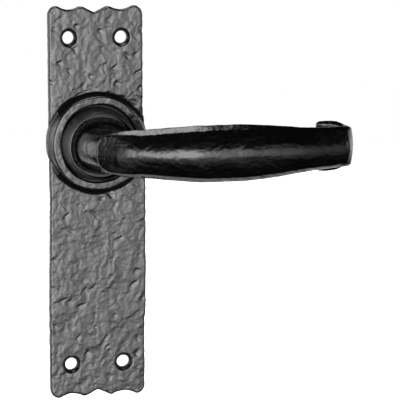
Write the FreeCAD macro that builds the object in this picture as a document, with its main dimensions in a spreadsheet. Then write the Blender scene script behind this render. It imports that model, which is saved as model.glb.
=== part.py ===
import FreeCAD, Part
import math
import os
import Sketcher
from FreeCAD import Placement, Rotation, Vector

# Cast-iron door lever handle on a tall backplate, in millimetres.
# The origin is the spindle's axis on the door's face. +X points along the lever, +Z is up
# and the front of the handle faces -Y, so a height above the door is a distance along -Y.

doc = FreeCAD.newDocument("door_lever_handle")
sheet = doc.addObject("Spreadsheet::Sheet", "Sizes")

DIMENSIONS = [
    # backplate
    ("plate_width", 37.2),
    ("plate_above", 52.1),
    ("plate_below", 99.6),
    ("plate_thickness", 3.5),
    ("plate_edge_round", 0.8),
    ("corner_radius", 3.6),
    ("valley_radius", 8.6),
    ("inner_crest_offset", 5.3),
    ("crest_round", 2.2),
    ("notch_drop", 2.7),
    ("notch_round", 1.3),
    # wood-screw holes
    ("screw_spacing_across", 20.5),
    ("screw_spacing_along", 126.5),
    ("screw_centre_below", 23.2),
    ("screw_hole_diameter", 4.7),
    ("screw_head_diameter", 7.0),
    ("screw_head_angle", 90.0),
    # boss
    ("boss_base_radius", 19.6),
    ("boss_top_radius", 18.4),
    ("boss_height", 7.5),
    ("boss_shoulder", 0.5),
    ("rim_inner_radius", 15.0),
    ("rim_groove_depth", 1.1),
    ("boss_bore_radius", 12.0),
    ("boss_bore_stock", 1.0),
    ("chamber_radius", 15.4),
    ("chamber_depth", 5.0),
    # collar
    ("collar_base_radius", 14.4),
    ("collar_lip_radius", 12.9),
    ("collar_height", 17.5),
    ("collar_mouth_radius", 12.3),
    ("collar_floor", 13.0),
    ("collar_lip_chamfer", 0.3),
    ("bearing_radius", 8.06),
    # washer
    ("washer_thickness", 0.6),
    ("washer_inner_radius", 8.3),
    ("washer_outer_radius", 11.8),
    # lever: shank, neck and elbow
    ("shank_radius", 8.0),
    ("shank_end", 0.3),
    ("shank_flat", 6.6),
    ("keyway_clearance", 0.05),
    ("shoulder_height", 4.9),
    ("flange_radius", 11.5),
    ("flange_height", 13.65),
    ("flare_radius", 10.3),
    ("neck_radius", 9.2),
    ("neck_start", 21.5),
    ("elbow_start", 27.0),
    ("nose_radius", 7.4),
    ("nose_height", 37.0),
    ("nose_shift", 3.0),
    ("neck_flat", 8.7),
    # lever: scroll at the grip's end
    ("scroll_centre", 86.0),
    ("scroll_height", 36.4),
    ("scroll_radius", 5.2),
    # spindle and its screw
    ("spindle_width", 7.9),
    ("socket_width", 8.1),
    ("socket_depth", 33.0),
    ("spindle_front", 32.0),
    ("spindle_back", 52.0),
    ("spindle_chamfer", 0.8),
    ("grub_radius", 2.45),
    ("grub_gap", 0.01),
    ("grub_hole_radius", 2.5),
    ("grub_height", 25.0),
    ("grub_length", 4.4),
    ("grub_key_width", 2.5),
    ("grub_key_depth", 2.2),
    # spring chamber
    ("arbor_radius", 9.6),
    ("arbor_bottom", 2.6),
    ("arbor_slot_width", 0.9),
    ("spring_bottom", 2.7),
    ("spring_width", 2.1),
    ("spring_thickness", 0.4),
    ("spring_inner_radius", 9.9),
    ("spring_pitch", 0.72),
    ("spring_turns", 2.0),
    ("spring_hook_depth", 0.5),
    ("spring_eye_play", 0.05),
    ("stop_plate_bottom", 1.6),
    ("stop_plate_thickness", 0.9),
    ("stop_plate_radius", 11.0),
    ("stop_tab_reach", 14.9),
    ("stop_tab_width", 4.0),
    ("circlip_bottom", 0.7),
    ("circlip_thickness", 0.8),
    ("circlip_inner_radius", 7.25),
    ("circlip_outer_radius", 9.6),
    ("circlip_gap", 3.2),
    ("circlip_eye_radius", 1.7),
    ("circlip_eye_hole_radius", 0.7),
    ("circlip_eye_offset", 0.5),
    ("circlip_groove_play", 0.05),
    ("circlip_groove_radius", 7.2),
    ("pin_radius", 1.1),
    ("pin_circle_radius", 13.2),
    ("pin_end", 1.1),
    ("pin_hole_depth", 0.8),
    ("turn_range", 50.0),
    ("tab_rest_angle", 115.0),
    ("pin_clearance", 0.12),
    ("anchor_radius", 0.9),
    ("anchor_angle", 335.0),
]

# Stations along the grip: position along X, height of the face's edge above the door,
# half the width, half the width of the face, crown of the face, depth behind the edge.
GRIP_STATIONS = [
    (-4.8, 37.1, 4.0, 3.0, 0.4, 3.0),
    (-3.4, 38.2, 5.9, 4.7, 0.8, 3.8),
    (-1.0, 39.9, 7.3, 5.9, 1.3, 5.2),
    (3.7, 42.1, 8.4, 6.8, 2.2, 6.8),
    (11.4, 44.8, 9.0, 7.4, 2.8, 8.0),
    (21.8, 48.0, 9.9, 8.3, 3.1, 8.2),
    (33.0, 50.0, 10.5, 8.9, 3.3, 7.8),
    (44.0, 50.0, 10.5, 8.9, 3.3, 7.2),
    (55.4, 49.3, 9.9, 8.3, 3.0, 6.6),
    (64.0, 48.2, 9.1, 7.5, 2.5, 6.0),
    (72.5, 46.2, 8.3, 6.7, 2.0, 5.2),
    (79.5, 43.9, 7.9, 6.4, 1.6, 4.4),
]
# The scroll goes on with sections turned about its own centre: angle, half the width.
SCROLL_STATIONS = [
    (20.0, 7.5),
    (50.0, 7.2),
    (85.0, 7.0),
    (120.0, 7.6),
    (150.0, 8.6),
    (180.0, 9.2),
]
# The tongue then runs straight back under the grip: position along X, half the width.
TONGUE_STATIONS = [
    (82.5, 9.4),
    (80.0, 9.2),
]
SCROLL_FACE = 0.82
SCROLL_CROWN = 1.0
SCROLL_DEPTH = 3.2
BEVEL_DEPTH = 2.0
BACK_WIDTH = 0.72

V_AXIS = -2
H_AXIS = -1
START = 1
END = 2
CENTRE = 3


def fill_sheet():
    """Writes each driving dimension as plain text in column B and names its cell."""
    rows = list(DIMENSIONS)
    for number, station in enumerate(GRIP_STATIONS, 1):
        names = ("along", "rise", "half", "face", "crown", "depth")
        rows += [(f"grip_{name}_{number:02d}", value) for name, value in zip(names, station)]
    for number, station in enumerate(SCROLL_STATIONS, 1):
        names = ("angle", "half")
        rows += [(f"scroll_{name}_{number:02d}", value) for name, value in zip(names, station)]
    for number, station in enumerate(TONGUE_STATIONS, 1):
        names = ("along", "half")
        rows += [(f"tongue_{name}_{number:02d}", value) for name, value in zip(names, station)]
    rows += [
        ("scroll_face_share", SCROLL_FACE),
        ("scroll_crown", SCROLL_CROWN),
        ("scroll_depth", SCROLL_DEPTH),
        ("bevel_depth", BEVEL_DEPTH),
        ("back_share", BACK_WIDTH),
    ]
    for row, (name, value) in enumerate(rows, 1):
        sheet.set(f"A{row}", name)
        sheet.set(f"B{row}", str(value))
        sheet.setAlias(f"B{row}", name)
    doc.recompute()


def size(name):
    return float(getattr(sheet, name))


def new_body(label):
    body = doc.addObject("PartDesign::Body", label)
    body.Label = label
    return body


def sketch_on(body, plane, name, height=None):
    """A sketch on one of the body's origin planes, lifted along its normal by a formula."""
    sketch = body.newObject("Sketcher::SketchObject", name)
    planes = [f for f in body.Origin.OriginFeatures if f.Role == plane]
    sketch.AttachmentSupport = (planes[0], [""])
    sketch.MapMode = "FlatFace"
    if height:
        sketch.setExpression("AttachmentOffset.Base.z", height)
    return sketch


def turned_sketch(body, name):
    """A sketch whose x is the radius and whose y is the height above the door."""
    sketch = sketch_on(body, "XY_Plane", name)
    sketch.AttachmentOffset = Placement(Vector(0, 0, 0), Rotation(Vector(1, 0, 0), 180))
    return sketch


def value_of(sketch, formula):
    if formula is None:
        return 0.0
    return float(FreeCAD.Units.Quantity(sketch.evalExpression(formula)))


def pin_point(sketch, edge, end, x_formula, y_formula):
    """Fixes one point of the sketch by two formulas; None puts it on that axis."""
    for kind, formula, axis in (("DistanceX", x_formula, V_AXIS), ("DistanceY", y_formula, H_AXIS)):
        if formula is None:
            sketch.addConstraint(Sketcher.Constraint("PointOnObject", edge, end, axis))
            continue
        value = value_of(sketch, formula)
        index = sketch.addConstraint(Sketcher.Constraint(kind, edge, end, value))
        sketch.setExpression(f"Constraints[{index}]", formula)


def closed_polygon(sketch, formulas):
    """A closed outline of straight edges through points given as pairs of formulas."""
    points = [Vector(value_of(sketch, x), value_of(sketch, y), 0) for x, y in formulas]
    count = len(points)
    for index in range(count):
        sketch.addGeometry(Part.LineSegment(points[index], points[(index + 1) % count]))
    for index in range(count):
        following = (index + 1) % count
        sketch.addConstraint(Sketcher.Constraint("Coincident", index, END, following, START))
    for index, (x_formula, y_formula) in enumerate(formulas):
        pin_point(sketch, index, START, x_formula, y_formula)


def add_circle(sketch, x_formula, y_formula, radius_formula):
    centre = Vector(value_of(sketch, x_formula), value_of(sketch, y_formula), 0)
    radius = value_of(sketch, radius_formula)
    edge = sketch.addGeometry(Part.Circle(centre, Vector(0, 0, 1), radius))
    pin_point(sketch, edge, CENTRE, x_formula, y_formula)
    index = sketch.addConstraint(Sketcher.Constraint("Radius", edge, radius))
    sketch.setExpression(f"Constraints[{index}]", radius_formula)


def pad(body, sketch, length_formula, name):
    feature = body.newObject("PartDesign::Pad", name)
    feature.Profile = sketch
    feature.setExpression("Length", length_formula)
    doc.recompute()
    return feature


def pocket(body, sketch, length_formula, name, along_normal=False):
    """Cuts behind the sketch, or along its normal, and stops the build if nothing was removed."""
    before = body.Shape.Volume
    feature = body.newObject("PartDesign::Pocket", name)
    feature.Profile = sketch
    feature.Reversed = along_normal
    feature.setExpression("Length", length_formula)
    doc.recompute()
    if not body.Shape.Volume < before - 0.01:
        raise RuntimeError(f"{name} cut nothing")
    return feature


def revolve(body, sketch, name, cut=False):
    kind = "PartDesign::Groove" if cut else "PartDesign::Revolution"
    before = body.Shape.Volume if cut else 0.0
    feature = body.newObject(kind, name)
    feature.Profile = sketch
    feature.ReferenceAxis = (sketch, ["V_Axis"])
    feature.Angle = 360
    doc.recompute()
    if cut and not body.Shape.Volume < before - 0.01:
        raise RuntimeError(f"{name} cut nothing")
    return feature


def turned_body(label, formulas):
    """A part turned about the spindle's axis from pairs of radius and height."""
    body = new_body(label)
    sketch = turned_sketch(body, f"{label}_profile")
    closed_polygon(sketch, formulas)
    revolve(body, sketch, f"{label}_turned")
    return body


def polar(radius_formula, angle_formula):
    """A place on a circle about the spindle, its angle counted from +X toward +Z."""
    return (
        f"({radius_formula}) * cos(({angle_formula}) * 1 deg)",
        f"({radius_formula}) * sin(({angle_formula}) * 1 deg)",
    )


REST_PIN_ANGLE = (
    "Sizes.tab_rest_angle + asin((Sizes.stop_tab_width / 2 + Sizes.pin_radius"
    " + Sizes.pin_clearance) / Sizes.pin_circle_radius) / 1 deg"
)
LIMIT_PIN_ANGLE = (
    "Sizes.tab_rest_angle - Sizes.turn_range - asin((Sizes.stop_tab_width / 2 + Sizes.pin_radius"
    " + Sizes.pin_clearance) / Sizes.pin_circle_radius) / 1 deg"
)
STOP_PIN_PLACES = [
    polar("Sizes.pin_circle_radius", REST_PIN_ANGLE),
    polar("Sizes.pin_circle_radius", LIMIT_PIN_ANGLE),
]
ANCHOR_PLACE = polar("Sizes.pin_circle_radius", "Sizes.anchor_angle")


def end_points(side):
    """The scalloped end's corners, crests and central notch, from left to right."""
    edge = "Sizes.plate_above" if side > 0 else "-Sizes.plate_below"
    inward = "-" if side > 0 else "+"
    corner = f"{edge} {inward} Sizes.corner_radius"
    notch = f"{edge} {inward} Sizes.notch_drop"
    outer_crest = "(Sizes.plate_width / 2 - Sizes.corner_radius)"
    return [
        ("-Sizes.plate_width / 2", corner),
        (f"-{outer_crest}", edge),
        ("-Sizes.inner_crest_offset", edge),
        (None, notch),
        ("Sizes.inner_crest_offset", edge),
        (outer_crest, edge),
        ("Sizes.plate_width / 2", corner),
    ]


def shallow_arc(start, end, radius, bulge):
    """The arc of a given radius from start to end whose middle lies toward bulge."""
    half = (end - start).Length / 2
    rise = radius - math.sqrt(radius * radius - half * half)
    normal = Vector(start.y - end.y, end.x - start.x, 0)
    normal.normalize()
    if normal.dot(bulge) < 0:
        normal = normal * -1
    return Part.Arc(start, (start + end) * 0.5 + normal * rise, end)


def backplate_outline(sketch):
    """Two straight sides; each end has round corners, two shallow valleys and a notch."""
    formulas = end_points(1) + end_points(-1)[::-1]
    points = [Vector(value_of(sketch, x), value_of(sketch, y), 0) for x, y in formulas]
    edges_of_end = ["corner_radius", "valley_radius", None, None, "valley_radius", "corner_radius"]
    radii = edges_of_end + [None] + edges_of_end + [None]
    ends = []
    for index, name in enumerate(radii):
        start = points[index]
        end = points[(index + 1) % len(points)]
        if name is None:
            sketch.addGeometry(Part.LineSegment(start, end))
            ends.append((START, END))
            continue
        outward = 1 if index < len(edges_of_end) else -1
        toward = outward if name == "corner_radius" else -outward
        edge = sketch.addGeometry(shallow_arc(start, end, size(name), Vector(0, toward, 0)))
        # An arc is stored counter-clockwise, so its stored start may be the end here.
        forward = sketch.getPoint(edge, START).distanceToPoint(start) < 1e-6
        ends.append((START, END) if forward else (END, START))
    for index in range(len(radii)):
        following = (index + 1) % len(radii)
        sketch.addConstraint(
            Sketcher.Constraint("Coincident", index, ends[index][1], following, ends[following][0])
        )
    for index, (x_formula, y_formula) in enumerate(formulas):
        pin_point(sketch, index, ends[index][0], x_formula, y_formula)
    for index, name in enumerate(radii):
        if name:
            number = sketch.addConstraint(Sketcher.Constraint("Radius", index, size(name)))
            sketch.setExpression(f"Constraints[{number}]", f"Sizes.{name}")


def upright_edges(feature, places):
    """Names of the edges along Y that stand at the given places, as pairs of X and Z."""
    names = []
    for number, edge in enumerate(feature.Shape.Edges, 1):
        middle = edge.BoundBox.Center
        if edge.BoundBox.YLength < 1 or max(edge.BoundBox.XLength, edge.BoundBox.ZLength) > 0.01:
            continue
        if any(math.hypot(middle.x - x, middle.z - z) < 0.05 for x, z in places):
            names.append(f"Edge{number}")
    return names


def front_outline_edges(feature, height):
    """Names of the edges that lie in the plane y = -height."""
    names = []
    for number, edge in enumerate(feature.Shape.Edges, 1):
        box = edge.BoundBox
        if abs(box.YMin + height) < 1e-4 and abs(box.YMax + height) < 1e-4:
            names.append(f"Edge{number}")
    return names


def make_backplate():
    """The iron casting: scalloped plate, round boss, spring chamber, bore and holes."""
    body = new_body("backplate")
    outline = sketch_on(body, "XZ_Plane", "plate_outline")
    backplate_outline(outline)
    slab = pad(body, outline, "Sizes.plate_thickness", "plate_slab")
    crest = size("inner_crest_offset")
    outer_crest = size("plate_width") / 2 - size("corner_radius")
    top = size("plate_above")
    bottom = -size("plate_below")
    crests = [(x, z) for x in (-outer_crest, -crest, crest, outer_crest) for z in (top, bottom)]
    notches = [(0.0, top - size("notch_drop")), (0.0, bottom + size("notch_drop"))]
    softened = slab
    for name, places, radius in (
        ("crest_fillet", crests, "Sizes.crest_round"),
        ("notch_fillet", notches, "Sizes.notch_round"),
    ):
        fillet = body.newObject("PartDesign::Fillet", name)
        fillet.Base = (softened, upright_edges(softened, places))
        fillet.setExpression("Radius", radius)
        doc.recompute()
        softened = fillet
    rounded = body.newObject("PartDesign::Fillet", "plate_edge_fillet")
    rounded.Base = (softened, front_outline_edges(softened, size("plate_thickness")))
    rounded.setExpression("Radius", "Sizes.plate_edge_round")
    doc.recompute()

    boss = turned_sketch(body, "boss_profile")
    groove_floor = "Sizes.boss_height - Sizes.rim_groove_depth"
    closed_polygon(boss, [
        ("Sizes.boss_bore_radius - Sizes.boss_bore_stock", None),
        ("Sizes.boss_base_radius", None),
        ("Sizes.boss_base_radius", "Sizes.plate_thickness - Sizes.boss_shoulder"),
        ("Sizes.boss_top_radius", "Sizes.boss_height - Sizes.boss_shoulder"),
        ("Sizes.boss_top_radius - Sizes.boss_shoulder", "Sizes.boss_height"),
        ("Sizes.rim_inner_radius", "Sizes.boss_height"),
        ("Sizes.rim_inner_radius", groove_floor),
        ("Sizes.boss_bore_radius - Sizes.boss_bore_stock", groove_floor),
    ])
    revolve(body, boss, "boss")

    chamber = sketch_on(body, "XZ_Plane", "chamber_circle")
    add_circle(chamber, None, None, "Sizes.chamber_radius")
    pocket(body, chamber, "Sizes.chamber_depth", "spring_chamber", along_normal=True)
    bore = sketch_on(body, "XZ_Plane", "bore_circle")
    add_circle(bore, None, None, "Sizes.boss_bore_radius")
    pocket(body, bore, "Sizes.boss_height + 1", "bearing_bore", along_normal=True)

    seats = sketch_on(body, "XZ_Plane", "pin_circles", "Sizes.chamber_depth")
    for across, along in STOP_PIN_PLACES:
        add_circle(seats, across, along, "Sizes.pin_radius")
    add_circle(seats, *ANCHOR_PLACE, "Sizes.anchor_radius")
    pocket(body, seats, "Sizes.pin_hole_depth", "pin_seats", along_normal=True)

    holes = sketch_on(body, "XZ_Plane", "screw_circles", "Sizes.plate_thickness")
    for side in ("", "-"):
        for end in ("+", "-"):
            across = f"{side}Sizes.screw_spacing_across / 2"
            along = f"{end}Sizes.screw_spacing_along / 2 - Sizes.screw_centre_below"
            add_circle(holes, across, along, "Sizes.screw_hole_diameter / 2")
    doc.recompute()
    before = body.Shape.Volume
    drilled = body.newObject("PartDesign::Hole", "screw_holes")
    drilled.Profile = holes
    drilled.DepthType = "ThroughAll"
    drilled.setExpression("Diameter", "Sizes.screw_hole_diameter")
    drilled.HoleCutType = "Countersink"
    drilled.HoleCutCustomValues = True
    drilled.setExpression("HoleCutDiameter", "Sizes.screw_head_diameter")
    drilled.setExpression("HoleCutCountersinkAngle", "Sizes.screw_head_angle")
    doc.recompute()
    if not body.Shape.Volume < before - 100:
        raise RuntimeError("the screw holes cut nothing")
    return body


def make_bearing_collar():
    """Turned bush pressed into the boss: a cone outside, a cup and the bearing inside."""
    groove_floor = "Sizes.boss_height - Sizes.rim_groove_depth"
    return turned_body("bearing_collar", [
        ("Sizes.bearing_radius", "Sizes.chamber_depth"),
        ("Sizes.boss_bore_radius", "Sizes.chamber_depth"),
        ("Sizes.boss_bore_radius", groove_floor),
        ("Sizes.collar_base_radius", groove_floor),
        ("Sizes.collar_lip_radius", "Sizes.collar_height - Sizes.collar_lip_chamfer"),
        ("Sizes.collar_lip_radius - Sizes.collar_lip_chamfer", "Sizes.collar_height"),
        ("Sizes.collar_mouth_radius", "Sizes.collar_height"),
        ("Sizes.collar_mouth_radius", "Sizes.collar_floor"),
        ("Sizes.bearing_radius", "Sizes.collar_floor"),
    ])


def make_thrust_washer():
    top = "Sizes.collar_floor + Sizes.washer_thickness"
    return turned_body("thrust_washer", [
        ("Sizes.washer_inner_radius", "Sizes.collar_floor"),
        ("Sizes.washer_outer_radius", "Sizes.collar_floor"),
        ("Sizes.washer_outer_radius", top),
        ("Sizes.washer_inner_radius", top),
    ])


def grip_section(sketch, half, face, crown, depth):
    """One section of the grip: a crowned face, two bevels and a narrower back.

    In the sketch x points toward the back and y across the grip."""
    half_size = value_of(sketch, half)
    face_size = value_of(sketch, face)
    crown_size = value_of(sketch, crown)
    depth_size = value_of(sketch, depth)
    bevel = size("bevel_depth")
    back = size("back_share") * half_size
    upper = [
        Vector(0, face_size, 0),
        Vector(bevel, half_size, 0),
        Vector(depth_size, back, 0),
    ]
    lower = [Vector(point.x, -point.y, 0) for point in reversed(upper)]
    points = upper + lower
    for index in range(len(points) - 1):
        sketch.addGeometry(Part.LineSegment(points[index], points[index + 1]))
    crown_arc = sketch.addGeometry(Part.Arc(points[-1], Vector(-crown_size, 0, 0), points[0]))
    for index in range(len(points) - 2):
        sketch.addConstraint(Sketcher.Constraint("Coincident", index, END, index + 1, START))
    low_end, high_end = START, END
    if sketch.getPoint(crown_arc, START).y > 0:
        low_end, high_end = END, START
    last = len(points) - 2
    sketch.addConstraint(Sketcher.Constraint("Coincident", last, END, crown_arc, low_end))
    sketch.addConstraint(Sketcher.Constraint("Coincident", crown_arc, high_end, 0, START))
    sketch.addConstraint(Sketcher.Constraint("Symmetric", 0, START, last, END, H_AXIS))
    sketch.addConstraint(Sketcher.Constraint("Symmetric", 0, END, last, START, H_AXIS))
    sketch.addConstraint(Sketcher.Constraint("Symmetric", 1, END, 2, END, H_AXIS))
    pin_point(sketch, 0, START, None, face)
    pin_point(sketch, 0, END, "Sizes.bevel_depth", half)
    pin_point(sketch, 1, END, depth, f"Sizes.back_share * {half}")
    radius = f"({face} * {face} + {crown} * {crown}) / (2 * {crown})"
    number = sketch.addConstraint(
        Sketcher.Constraint("Radius", crown_arc, value_of(sketch, radius))
    )
    sketch.setExpression(f"Constraints[{number}]", radius)


def place_section(sketch, along, height, angle):
    """Stands the section at a place on the grip, turned about Z from facing the front."""
    sketch.AttachmentOffset = Placement(Vector(0, 0, 0), Rotation(Vector(0, 1, 0), 1))
    sketch.setExpression("AttachmentOffset.Base.x", f"-({height})")
    sketch.setExpression("AttachmentOffset.Base.z", along)
    sketch.setExpression("AttachmentOffset.Rotation.Angle", angle)


def scroll_section(body, name, half, along, height, angle):
    """One section of the scroll or its tongue, which share a face, a crown and a depth."""
    sketch = sketch_on(body, "YZ_Plane", name)
    face = f"({half} * Sizes.scroll_face_share)"
    grip_section(sketch, half, face, "Sizes.scroll_crown", "Sizes.scroll_depth")
    place_section(sketch, along, height, angle)
    return sketch


def grip_sections(body):
    """Sketches of every station, from the nose to the tip of the scroll's tongue."""
    sketches = []
    for number in range(1, len(GRIP_STATIONS) + 1):
        sketch = sketch_on(body, "YZ_Plane", f"grip_section_{number:02d}")
        names = [f"Sizes.grip_{name}_{number:02d}" for name in ("half", "face", "crown", "depth")]
        grip_section(sketch, *names)
        place_section(
            sketch, f"Sizes.grip_along_{number:02d}", f"Sizes.grip_rise_{number:02d}", "0 deg"
        )
        sketches.append(sketch)
    for number in range(1, len(SCROLL_STATIONS) + 1):
        angle = f"Sizes.scroll_angle_{number:02d} * 1 deg"
        sketches.append(scroll_section(
            body,
            f"scroll_section_{number:02d}",
            f"Sizes.scroll_half_{number:02d}",
            f"Sizes.scroll_centre + Sizes.scroll_radius * sin({angle})",
            f"Sizes.scroll_height + Sizes.scroll_radius * cos({angle})",
            angle,
        ))
    for number in range(1, len(TONGUE_STATIONS) + 1):
        sketches.append(scroll_section(
            body,
            f"tongue_section_{number:02d}",
            f"Sizes.tongue_half_{number:02d}",
            f"Sizes.tongue_along_{number:02d}",
            "Sizes.scroll_height - Sizes.scroll_radius",
            "180 deg",
        ))
    return sketches


def loft(body, sketches, name, ruled=False):
    feature = body.newObject("PartDesign::AdditiveLoft", name)
    feature.Profile = sketches[0]
    feature.Sections = sketches[1:]
    feature.Ruled = ruled
    doc.recompute()
    return feature


def make_lever():
    """The iron casting that the hand turns: shank, flared neck, elbow, grip and scroll."""
    body = new_body("lever")
    profile = turned_sketch(body, "neck_profile")
    closed_polygon(profile, [
        (None, "Sizes.shank_end"),
        ("Sizes.shank_radius", "Sizes.shank_end"),
        ("Sizes.shank_radius", "Sizes.flange_height"),
        ("Sizes.flange_radius", "Sizes.flange_height"),
        ("Sizes.flange_radius", "Sizes.flange_height + 0.6"),
        ("(Sizes.flange_radius + Sizes.flare_radius) / 2", "Sizes.flange_height + 1.7"),
        ("Sizes.flare_radius", "Sizes.collar_height"),
        ("(Sizes.flare_radius + 2 * Sizes.neck_radius) / 3",
         "(Sizes.collar_height + Sizes.neck_start) / 2"),
        ("Sizes.neck_radius", "Sizes.neck_start"),
        ("Sizes.neck_radius", "Sizes.elbow_start"),
        (None, "Sizes.elbow_start"),
    ])
    revolve(body, profile, "neck_turned")

    lower = sketch_on(body, "XZ_Plane", "elbow_lower_circle", "Sizes.elbow_start")
    add_circle(lower, None, None, "Sizes.neck_radius")
    upper = sketch_on(body, "XZ_Plane", "elbow_upper_circle", "Sizes.nose_height")
    add_circle(upper, "Sizes.nose_shift", None, "Sizes.nose_radius")
    loft(body, [lower, upper], "elbow")
    loft(body, grip_sections(body), "grip", ruled=True)

    flat = sketch_on(body, "XZ_Plane", "neck_flat_outline", "Sizes.collar_height + 1.5")
    closed_polygon(flat, [
        ("-Sizes.neck_radius", "Sizes.neck_flat"),
        ("Sizes.neck_radius", "Sizes.neck_flat"),
        ("Sizes.neck_radius", "Sizes.neck_radius + 2"),
        ("-Sizes.neck_radius", "Sizes.neck_radius + 2"),
    ])
    pocket(body, flat, "Sizes.elbow_start - Sizes.collar_height", "neck_flat", along_normal=True)

    key = sketch_on(body, "XZ_Plane", "shank_flats", "Sizes.shank_end")
    for side in ("", "-"):
        add_flat(key, side)
    pocket(body, key, "Sizes.shoulder_height - Sizes.shank_end", "shank_key", along_normal=True)

    groove = turned_sketch(body, "circlip_groove_profile")
    groove_low = "Sizes.circlip_bottom - Sizes.circlip_groove_play"
    groove_high = "Sizes.circlip_bottom + Sizes.circlip_thickness + Sizes.circlip_groove_play"
    closed_polygon(groove, [
        ("Sizes.circlip_groove_radius", groove_low),
        ("Sizes.shank_radius + 1", groove_low),
        ("Sizes.shank_radius + 1", groove_high),
        ("Sizes.circlip_groove_radius", groove_high),
    ])
    revolve(body, groove, "circlip_groove", cut=True)

    socket = sketch_on(body, "XZ_Plane", "socket_square")
    square(socket, "Sizes.socket_width")
    pocket(body, socket, "Sizes.socket_depth", "spindle_socket", along_normal=True)

    tapped = sketch_on(body, "XY_Plane", "grub_hole_circle")
    add_circle(tapped, None, "-Sizes.grub_height", "Sizes.grub_hole_radius")
    pocket(body, tapped, "Sizes.neck_radius + 1", "grub_hole")
    return body


def add_flat(sketch, side):
    """A rectangle that cuts one flat of the double-D shank."""
    base = len(sketch.Geometry)
    reach = "(Sizes.shank_radius + 1)"
    corners = [
        (f"-{reach}", f"{side}Sizes.shank_flat"),
        (reach, f"{side}Sizes.shank_flat"),
        (reach, f"{side}{reach}"),
        (f"-{reach}", f"{side}{reach}"),
    ]
    points = [Vector(value_of(sketch, x), value_of(sketch, y), 0) for x, y in corners]
    for index in range(4):
        sketch.addGeometry(Part.LineSegment(points[index], points[(index + 1) % 4]))
    for index in range(4):
        following = base + (index + 1) % 4
        sketch.addConstraint(
            Sketcher.Constraint("Coincident", base + index, END, following, START)
        )
    for index, (x_formula, y_formula) in enumerate(corners):
        pin_point(sketch, base + index, START, x_formula, y_formula)


def square(sketch, width_formula):
    half = f"{width_formula} / 2"
    closed_polygon(sketch, [
        (f"-{half}", f"-{half}"),
        (half, f"-{half}"),
        (half, half),
        (f"-{half}", half),
    ])


def make_spindle():
    """Square bar from inside the neck to behind the door, chamfered at both ends."""
    body = new_body("spindle")
    section = sketch_on(body, "XZ_Plane", "spindle_square", "-Sizes.spindle_back")
    square(section, "Sizes.spindle_width")
    bar = pad(body, section, "Sizes.spindle_back + Sizes.spindle_front", "spindle_bar")
    names = front_outline_edges(bar, size("spindle_front"))
    names += front_outline_edges(bar, -size("spindle_back"))
    ends = body.newObject("PartDesign::Chamfer", "spindle_ends")
    ends.Base = (bar, names)
    ends.setExpression("Size", "Sizes.spindle_chamfer")
    doc.recompute()
    return body


def make_grub_screw():
    """Headless screw in the underside of the neck, its point on the spindle's flat."""
    body = new_body("grub_screw")
    shank = sketch_on(body, "XY_Plane", "grub_circle", "-Sizes.spindle_width / 2 - Sizes.grub_gap")
    add_circle(shank, None, "-Sizes.grub_height", "Sizes.grub_radius")
    screw = pad(body, shank, "Sizes.grub_length", "grub_shank")
    screw.Reversed = True
    doc.recompute()
    key = sketch_on(
        body, "XY_Plane", "grub_key_hexagon",
        "-Sizes.spindle_width / 2 - Sizes.grub_gap - Sizes.grub_length",
    )
    across = "Sizes.grub_key_width / sqrt(3)"
    closed_polygon(key, [
        (f"{across} * cos({60 * corner + 30} deg)",
         f"-Sizes.grub_height + {across} * sin({60 * corner + 30} deg)")
        for corner in range(6)
    ])
    pocket(body, key, "Sizes.grub_key_depth", "grub_key", along_normal=True)
    return body


def cut_double_d(body, height_formula, depth_formula):
    """Cuts the hole that fits over the shank's two flats."""
    cutter = sketch_on(body, "XZ_Plane", f"{body.Label}_key", height_formula)
    radius = size("bearing_radius")
    flat = size("shank_flat") + size("keyway_clearance")
    flat_formula = "(Sizes.shank_flat + Sizes.keyway_clearance)"
    across = math.sqrt(radius * radius - flat * flat)
    right_top = Vector(across, flat, 0)
    left_top = Vector(-across, flat, 0)
    left_low = Vector(-across, -flat, 0)
    right_low = Vector(across, -flat, 0)
    cutter.addGeometry(Part.LineSegment(right_top, left_top))
    cutter.addGeometry(Part.Arc(left_top, Vector(-radius, 0, 0), left_low))
    cutter.addGeometry(Part.LineSegment(left_low, right_low))
    cutter.addGeometry(Part.Arc(right_low, Vector(radius, 0, 0), right_top))
    for index in range(4):
        following = (index + 1) % 4
        cutter.addConstraint(Sketcher.Constraint("Coincident", index, END, following, START))
    for arc in (1, 3):
        cutter.addConstraint(Sketcher.Constraint("Coincident", arc, CENTRE, -1, START))
    number = cutter.addConstraint(Sketcher.Constraint("Radius", 1, radius))
    cutter.setExpression(f"Constraints[{number}]", "Sizes.bearing_radius")
    cutter.addConstraint(Sketcher.Constraint("Horizontal", 0))
    cutter.addConstraint(Sketcher.Constraint("Horizontal", 2))
    number = cutter.addConstraint(Sketcher.Constraint("DistanceY", 0, START, flat))
    cutter.setExpression(f"Constraints[{number}]", flat_formula)
    number = cutter.addConstraint(Sketcher.Constraint("DistanceY", 2, END, 0, START, 2 * flat))
    cutter.setExpression(f"Constraints[{number}]", f"2 * {flat_formula}")
    pocket(body, cutter, depth_formula, f"{body.Label}_keyway", along_normal=True)


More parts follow.
